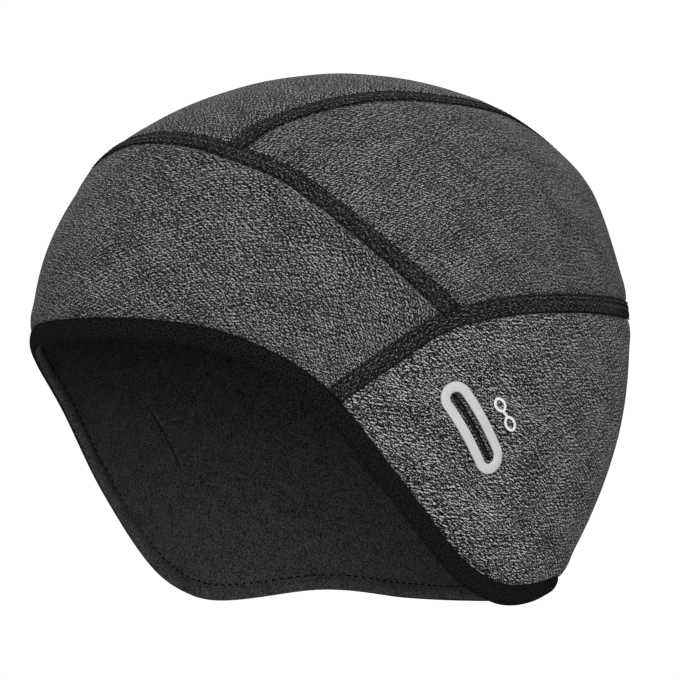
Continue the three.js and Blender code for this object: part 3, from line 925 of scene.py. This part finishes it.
along = add_node(stitches, "GeometryNodeInputNamedAttribute", {
    "Name": "along",
}, data_type="FLOAT_VECTOR")
out = add_node(stitches, "GeometryNodeInputNamedAttribute", {
    "Name": "out",
}, data_type="FLOAT_VECTOR")
laid = add_node(stitches, "FunctionNodeAxesToRotation", {
    0: along, 1: out,
}, primary_axis="X", secondary_axis="Z")
uneven = add_node(stitches, "FunctionNodeRandomValue", {
    2: 0.9, 3: 1.06, "Seed": sizes["Seed"],
}, data_type="FLOAT")
sewn = add_node(stitches, "GeometryNodeInstanceOnPoints", {
    "Points": sizes["Geometry"], "Instance": soft,
    "Rotation": laid, "Scale": uneven.outputs[1],
})
real = add_node(stitches, "GeometryNodeRealizeInstances", {0: sewn})
coated = add_node(stitches, "GeometryNodeSetMaterial", {0: real, "Material": sizes["Thread"]})
add_node(stitches, "NodeGroupOutput", {0: coated})


def stitch_row(path, across, height, pitch, slant=0.0, closed=False, shift=0.0):
    """Where each stitch of a row lies, the way it points and the way out of the cloth."""
    row = evened(path, pitch, closed)
    along, left = along_and_left(row, closed)
    row = step(row, left, across)
    if shift:
        row = step(row, along, shift)
    turn = math.radians(slant)
    return on_cloth(row, height), along * math.cos(turn) + left * math.sin(turn), directions(row)[2]


STITCH_SEED = 7


def sew(name, rows, thread_sizes, thread=black_thread):
    """Stitches of thread on rows of places, as one plain mesh."""
    points, along, out = (np.vstack([row[k] for row in rows]) for k in range(3))
    mesh = bpy.data.meshes.new(name + "_places")
    mesh.from_pydata(((points + [0, 0, RISE]) / 1000).tolist(), [], [])
    for label, values in (("along", along), ("out", out)):
        made = mesh.attributes.new(label, "FLOAT_VECTOR", "POINT")
        made.data.foreach_set("vector", values.ravel())
    places = bpy.data.objects.new(name + "_places", mesh)
    bpy.context.scene.collection.objects.link(places)
    modifier = places.modifiers.new("stitches", "NODES")
    modifier.node_group = stitches
    given = dict(Thread=thread, Seed=STITCH_SEED, **{k: v / 1000 for k, v in thread_sizes.items()})
    for socket in stitches.interface.items_tree:
        if socket.in_out == "INPUT" and socket.name in given:
            modifier[socket.identifier] = given[socket.name]
    shown = places.evaluated_get(bpy.context.evaluated_depsgraph_get())
    piece = bpy.data.objects.new(name, bpy.data.meshes.new_from_object(shown))
    bpy.context.scene.collection.objects.link(piece)
    bpy.data.objects.remove(places)
    return piece


NEEDLE_STITCH = dict(Length=2.1, Thickness=0.3, Bow=0.08, Sink=0.12)
NEEDLE_HEIGHT = 0.1
NEEDLE_SHIFT = 0.3
LOOPER_STITCH = dict(Length=2.5, Thickness=0.26, Bow=0.08, Sink=0.1)
LOOPER_HEIGHT = 0.14
LOOPER_SLANT = 55
LOOPER_ROWS = (0.27, 0.62)


def overlock(name, path, start, width):
    """The needle rows, and looper threads that cross in slanting pairs between them."""
    rows = []
    for k, row in enumerate(needle_rows(width)):
        across, shift = start + row, NEEDLE_SHIFT * k
        rows.append(stitch_row(path, across, NEEDLE_HEIGHT, NEEDLE_PITCH, shift=shift))
    needle = sew(name + "_needle_thread", rows, NEEDLE_STITCH)
    loops = []
    for share in LOOPER_ROWS:
        for slant, shift in ((LOOPER_SLANT, 0), (-LOOPER_SLANT, NEEDLE_PITCH / 2)):
            row = start + width * share
            loops.append(stitch_row(path, row, LOOPER_HEIGHT, NEEDLE_PITCH, slant, shift=shift))
    looper = sew(name + "_looper_thread", loops, LOOPER_STITCH)
    return needle, looper


def seam(name, path, start, width, *nodes):
    """A seam band for its CAD nodes, with its two kinds of thread."""
    band = swept(name + "_cover", path, seam_profile(start, width), seam_jersey, relief=drawn_in)
    dressed(band, "black_knit", *nodes)
    sewn_on = overlock(name, path, start, width)
    for piece in sewn_on:
        dressed(piece, "black_knit")
    return [band, *sewn_on]


# Where seams meet, the end of one goes under the other
UNDER = 1.2
side_over = until(beside(side_path, SIDE_SEAM_WIDTH - UNDER), MIDDLE_BACK)
front_over = beyond(beside(front_path, FRONT_SEAM_WIDTH - UNDER), MIDDLE_FRONT)
side_run = beyond(until(side_path, other_side(hem_left)), hem_left)
seam("side_and_back_seam", side_run, 0, SIDE_SEAM_WIDTH, "side_and_back_seam")
front_half = until(beyond(front_path, MIDDLE_FRONT), side_over)
front_run = evened(np.vstack([other_side(front_half[:0:-1]), front_half]), PATH_SPACING)
seam("front_seam", front_run, 0, FRONT_SEAM_WIDTH, "front_seam")
crown_run = beyond(until(crown_path, side_over), front_over)
crown_pieces = seam(
    "crown_seam_left", crown_run, -CROWN_SEAM_WIDTH / 2, CROWN_SEAM_WIDTH, "crown_seam_left"
)
for piece in crown_pieces:
    twin = mirrored(piece, piece.name.replace("left", "right"))
    dressed(twin, "black_knit", *(["crown_seam_right"] if piece is crown_pieces[0] else []))

# Hem band
# A strip of plain black jersey folded over the edge of the cap all round, outside and in, and
# closed with one row of stitches inside. The grey cloth rolls over its upper edge.
RIB = 0.5
LOOP = 0.62
FUZZ_PER_MM = (1.5, 2.2, 0)


def plain_knit(name, dark, pale):
    """Black jersey: fine rows of loops, matt, with a few paler fibres and hardly a shine."""
    material, tree = new_material(name)
    cloth = add_node(tree, "ShaderNodeUVMap", uv_map="flat_cloth")
    axes = add_node(tree, "ShaderNodeSeparateXYZ", {0: cloth})
    rows = add_node(tree, "ShaderNodeMath", {
        0: axes.outputs[1], 1: 2 * math.pi / RIB,
    }, operation="MULTIPLY")
    loops = add_node(tree, "ShaderNodeMath", {0: axes, 1: 2 * math.pi / LOOP}, operation="MULTIPLY")
    rib = add_node(tree, "ShaderNodeMath", {0: rows}, operation="SINE")
    knot = add_node(tree, "ShaderNodeMath", {0: loops}, operation="SINE")
    relief = add_node(tree, "ShaderNodeMath", {0: knot, 1: 0.6, 2: rib}, operation="MULTIPLY_ADD")
    near = add_node(tree, "ShaderNodeVectorMath", {0: cloth, 1: FUZZ_PER_MM}, operation="MULTIPLY")
    fuzz = add_node(tree, "ShaderNodeTexNoise", {"Vector": near, "Scale": 1.0, "Detail": 2.0})
    tone = add_node(tree, "ShaderNodeValToRGB", {0: fuzz})
    tone.color_ramp.elements[0].position = 0.4
    tone.color_ramp.elements[0].color = linear(dark)
    tone.color_ramp.elements[1].position = 0.72
    tone.color_ramp.elements[1].color = linear(pale)
    bump = add_node(tree, "ShaderNodeBump", {
        "Strength": 0.5, "Distance": 0.00012, "Height": relief,
    })
    shader = add_node(tree, "ShaderNodeBsdfPrincipled", {
        "Base Color": tone, "Roughness": 0.9, "Specular IOR Level": 0.08,
        "Normal": bump,
    })
    add_node(tree, "ShaderNodeOutputMaterial", {0: shader})
    return material


black_jersey = plain_knit("black_polyester_jersey", "#020202", "#2a2a2b")
# Specks of pile about 0.5 mm apart, in tufts of about 4 mm
SPECKS_PER_METRE = 2000.0
TUFTS_PER_METRE = 260.0


def fleece(name, dark, pale):
    """Raised fleece: a short matt pile with pale specks painted as highlights where fibres catch
    the light.
    """
    material, tree = new_material(name)
    place = add_node(tree, "ShaderNodeTexCoord")
    pile = add_node(tree, "ShaderNodeTexNoise", {
        "Vector": place.outputs["Object"], "Scale": SPECKS_PER_METRE, "Detail": 2.0,
        "Roughness": 0.6,
    })
    tuft = add_node(tree, "ShaderNodeTexNoise", {
        "Vector": place.outputs["Object"], "Scale": TUFTS_PER_METRE, "Detail": 2.0,
    })
    mixed = add_node(tree, "ShaderNodeMath", {0: tuft, 1: 0.15, 2: pile}, operation="MULTIPLY_ADD")
    # Pale specks: painted highlights of the pile
    tone = add_node(tree, "ShaderNodeValToRGB", {0: mixed})
    tone.color_ramp.elements[0].position = 0.42
    tone.color_ramp.elements[0].color = linear(dark)
    tone.color_ramp.elements[1].position = 0.78
    tone.color_ramp.elements[1].color = linear(pale)
    bump = add_node(tree, "ShaderNodeBump", {"Strength": 0.8, "Distance": 0.0005, "Height": mixed})
    shader = add_node(tree, "ShaderNodeBsdfPrincipled", {
        "Base Color": tone, "Roughness": 1.0, "Specular IOR Level": 0.1,
        "Sheen Weight": 0.04, "Sheen Roughness": 0.7, "Normal": bump,
    })
    add_node(tree, "ShaderNodeOutputMaterial", {0: shader})
    return material


black_fleece = fleece("black_polyester_fleece", "#09090a", "#58585a")
# The strip's section, in mm from the edge of the cap and out from the cloth: up the outside,
# over the top and down behind the outer leg, then up the inner leg and down its inner face,
# where the stitch row presses a groove
HEM_PROFILE = [
    (0.0, -1.8), (0.1, -1.3), (0.35, -0.8), (0.8, -0.4), (1.4, -0.12), (2.2, 0.06), (3.2, 0.14),
    (4.3, 0.08), (5.2, -0.1), (5.8, -0.4), (6.25, -0.8), (6.45, -1.1), (6.4, -1.25), (4.5, -1.22),
    (1.9, -1.2), (1.5, -1.45), (1.35, -1.8), (1.5, -2.2), (1.9, -2.5), (5.0, -2.42), (6.3, -2.42),
    (6.45, -2.46), (6.3, -2.52), (6.0, -2.6), (5.6, -2.5), (5.1, -2.36), (4.6, -2.52),
    (4.0, -2.9), (3.3, -3.2), (2.3, -3.42), (1.4, -3.3), (0.7, -3.0), (0.25, -2.5),
]
hem_run = np.roll(hem_path, -(len(hem_path) // 2), 0)
hem = swept("hem_band_jersey", hem_run, HEM_PROFILE, black_jersey, closed=True)
# The inside of the strip is brushed like the lining, from this place of the section on
INNER_LEG = 16
hem.data.materials.append(black_fleece)
for face in hem.data.polygons:
    face.material_index = int(face.index % len(HEM_PROFILE) >= INNER_LEG)
dressed(hem, "black_knit", "hem_band")
HEM_STITCHES_UP = 5.1
HEM_STITCHES_OUT = -2.42
HEM_STITCH_PITCH = 2.6
hem_stitches = sew(
    "hem_stitches",
    [stitch_row(hem_run, HEM_STITCHES_UP, HEM_STITCHES_OUT, HEM_STITCH_PITCH, closed=True)],
    dict(Length=1.1, Thickness=0.6, Bow=-0.12, Sink=-0.02),
)
dressed(hem_stitches, "black_knit")

# Fleece lining
# Thin black polyester fleece inside the whole cap, its raised side to the head. It is cut to
# the shape of the cap, and its edge is held inside the folded hem.
LINING_SLIT_WIDTH = 0.3
lining_edge = beside(hem_path, CLOTH + 2 * GAP, closed=True)
lining_edge = np.vstack([lining_edge, lining_edge[:1]])
lining = cloth_panel(
    "raised_fleece_lining",
    [edge(lining_edge, roll=0, swell=0, pucker=0)],
    lambda spots: spots,
    black_fleece,
    holes=slot_holes(LINING_SLIT_WIDTH, roll=0, roll_width=1),
    spacing=2.4,
    edge_rows=(1.0, 2.4),
    under=CLOTH + GAP,
    calm=away_from_slot,
)
dressed(lining, "black_fleece", "fleece_lining")

# Rings round the slots
# A ring of smooth pale grey rubber print, pressed hot on to the cloth round each slot, about
# half a millimetre thick, with its edges rounded by the press.
RING_LENGTH = 31
RING_WIDTH = 10.4
RING_BAND = 3.05
RING_POINTS = 120
GRAIN_PER_METRE = 1500.0


def rubber_print(name, colour, edge_light):
    """Silicone print: smooth and even, with a soft shine and a faint grain from the cloth."""
    material, tree = new_material(name)
    place = add_node(tree, "ShaderNodeTexCoord")
    grain_under = add_node(tree, "ShaderNodeTexNoise", {
        "Vector": place.outputs["Object"], "Scale": GRAIN_PER_METRE, "Detail": 2.0,
    })
    tone = add_node(tree, "ShaderNodeValToRGB", {0: grain_under})
    tone.color_ramp.elements[0].position = 0.25
    tone.color_ramp.elements[0].color = linear(colour)
    tone.color_ramp.elements[1].position = 0.8
    tone.color_ramp.elements[1].color = linear(edge_light)
    bump = add_node(tree, "ShaderNodeBump", {
        "Strength": 0.15, "Distance": 0.0001, "Height": grain_under,
    })
    shader = add_node(tree, "ShaderNodeBsdfPrincipled", {
        "Base Color": tone, "Roughness": 0.5, "IOR": 1.43, "Normal": bump,
    })
    add_node(tree, "ShaderNodeOutputMaterial", {0: shader})
    return material


grey_rubber = rubber_print("grey_silicone_print", "#cdcdcd", "#dedede")
half_band = RING_BAND / 2
RING_PROFILE = [
    (-half_band, 0.0), (-half_band, 0.42), (-half_band + 0.08, 0.54), (-half_band + 0.22, 0.6),
    (0, 0.62), (half_band - 0.22, 0.6), (half_band - 0.08, 0.54), (half_band, 0.42),
    (half_band, 0.0), (0, -0.1),
]
ring_loop = round_ended(RING_LENGTH - RING_BAND, RING_WIDTH - RING_BAND, RING_POINTS)
ring_path = beside_slot(*ring_loop)
ring_left = swept("slot_ring_left", ring_path, RING_PROFILE, grey_rubber, closed=True)
dressed(ring_left, "grey_rubber", "glasses_slot_ring_left")
ring_right = mirrored(ring_left, "slot_ring_right")
dressed(ring_right, "grey_rubber", "glasses_slot_ring_right")

# Glasses signs
# A small sign of a pair of glasses, printed white beside each slot: two rounded lenses joined
# by a short bridge. It is pressed on like the ring, but thinner.
white_print = rubber_print("white_silicone_print", "#fafafa", "#ffffff")
SIGN_ACROSS = 12.1
SIGN_ALONG = 2.55
LENS_GAP = 3.36
LENS_SHIFT = 0.15
LENS_HALF_WIDTH = 1.75
LENS_HALF_LENGTH = 2.15
LENS_SQUARED = 0.12
BRIDGE_BEND = 0.2
BRIDGE_INTO_LENS = 0.1
t = np.linspace(0, 2 * math.pi, 40, endpoint=False)
SIGN_PROFILE = [(-0.41, 0.0), (-0.41, 0.16), (-0.33, 0.2), (0.33, 0.2), (0.41, 0.16), (0.41, 0.0)]
sign_pieces = []
for name, end in (("upper", -1), ("lower", 1)):
    squared = 1 - LENS_SQUARED * np.sin(t) ** 2
    across = SIGN_ACROSS + LENS_SHIFT * end + LENS_HALF_WIDTH * np.cos(t) * squared
    along_slot = SIGN_ALONG + end * LENS_GAP + LENS_HALF_LENGTH * np.sin(t)
    lens_path = beside_slot(across, along_slot)
    sign_pieces.append(swept("sign_" + name, lens_path, SIGN_PROFILE, white_print, closed=True))
bend = np.linspace(-1, 1, 12)
bridge_across = SIGN_ACROSS + BRIDGE_BEND * np.sin(bend * math.pi)
bridge_half = LENS_GAP - LENS_HALF_LENGTH + BRIDGE_INTO_LENS
bridge_path = beside_slot(bridge_across, SIGN_ALONG + bend * bridge_half)
sign_pieces.append(swept("sign_bridge", bridge_path, SIGN_PROFILE, white_print))
for piece in sign_pieces:
    piece.name = piece.name + "_left"
    dressed(piece, "grey_rubber")
    dressed(mirrored(piece, piece.name.replace("left", "right")), "grey_rubber")

# Studio
# The cap hangs in the middle of a bright white tent, held up as a head would hold it, over a
# pale floor that is far enough below to take no shadow from it.
FLOOR_HEIGHT = -1.1
FLOOR_REACH = 4.0
FLOOR_SIDES = 96
floor_mesh = bpy.data.meshes.new("studio_floor")
turns = np.arange(FLOOR_SIDES) * 2 * math.pi / FLOOR_SIDES
floor_points = [(FLOOR_REACH * math.cos(a), FLOOR_REACH * math.sin(a), FLOOR_HEIGHT) for a in turns]
floor_mesh.from_pydata(floor_points, [], [tuple(range(FLOOR_SIDES))])
floor = bpy.data.objects.new("studio_floor", floor_mesh)
bpy.context.scene.collection.objects.link(floor)
floor_material, floor_tree = new_material("matt_white_paper")
floor_shader = add_node(floor_tree, "ShaderNodeBsdfPrincipled", {
    "Base Color": linear("#d9d9d9"), "Roughness": 0.9,
})
add_node(floor_tree, "ShaderNodeOutputMaterial", {0: floor_shader})
floor_mesh.materials.append(floor_material)

world = bpy.data.worlds.new("white_tent")
bpy.context.scene.world = world
world.use_nodes = True
# The tent shows white behind the cap, and its cloth gives the cap a softer, weaker light
WHITE_BEHIND = 1.05
TENT_LIGHT = 0.16
tent = world.node_tree
tent_light = tent.nodes["Background"]
tent_light.inputs["Color"].default_value = (1, 1, 1, 1)
seen = add_node(tent, "ShaderNodeLightPath")
strength = add_node(tent, "ShaderNodeMapRange", {
    "Value": seen.outputs["Is Camera Ray"], "To Min": TENT_LIGHT, "To Max": WHITE_BEHIND,
})
tent.links.new(strength.outputs[0], tent_light.inputs["Strength"])
bpy.context.scene.view_settings.view_transform = "Standard"

CAP_MIDDLE = Vector((0, 0, -0.081))
LIGHT_DISTANCE = 1.6


def seen_from(azimuth, elevation):
    """The way from the cap to a place at an azimuth round it and an elevation over it."""
    turn, rise = math.radians(azimuth), math.radians(elevation)
    level = math.cos(rise)
    return Vector((math.sin(turn) * level, -math.cos(turn) * level, math.sin(rise)))


def soft_light(name, azimuth, elevation, size, power):
    light = bpy.data.lights.new(name, "AREA")
    light.shape = "DISK"
    light.size = size
    light.energy = power
    lamp = bpy.data.objects.new(name, light)
    bpy.context.scene.collection.objects.link(lamp)
    way = seen_from(azimuth, elevation)
    lamp.location = CAP_MIDDLE + way * LIGHT_DISTANCE
    lamp.rotation_euler = way.to_track_quat("Z", "Y").to_euler()


soft_light("front_softbox", 42, 13, size=1.0, power=18)
soft_light("side_softbox", 125, 12, size=1.0, power=7)
soft_light("top_softbox", 30, 75, size=1.0, power=4)
soft_light("back_softbox", 235, 40, size=1.2, power=7)

CAMERA_DISTANCE = 1.5
CAMERA_AZIMUTH = 53.77
CAMERA_ELEVATION = -2.38
camera_data = bpy.data.cameras.new("camera")
camera_data.sensor_width = 36
camera_data.lens = 255
camera_data.shift_x = 0.0144
camera_data.shift_y = 0.0031
camera = bpy.data.objects.new("camera", camera_data)
bpy.context.scene.collection.objects.link(camera)
way = seen_from(CAMERA_AZIMUTH, CAMERA_ELEVATION)
camera.location = CAP_MIDDLE + way * CAMERA_DISTANCE
camera.rotation_euler = way.to_track_quat("Z", "Y").to_euler()
bpy.context.scene.camera = camera
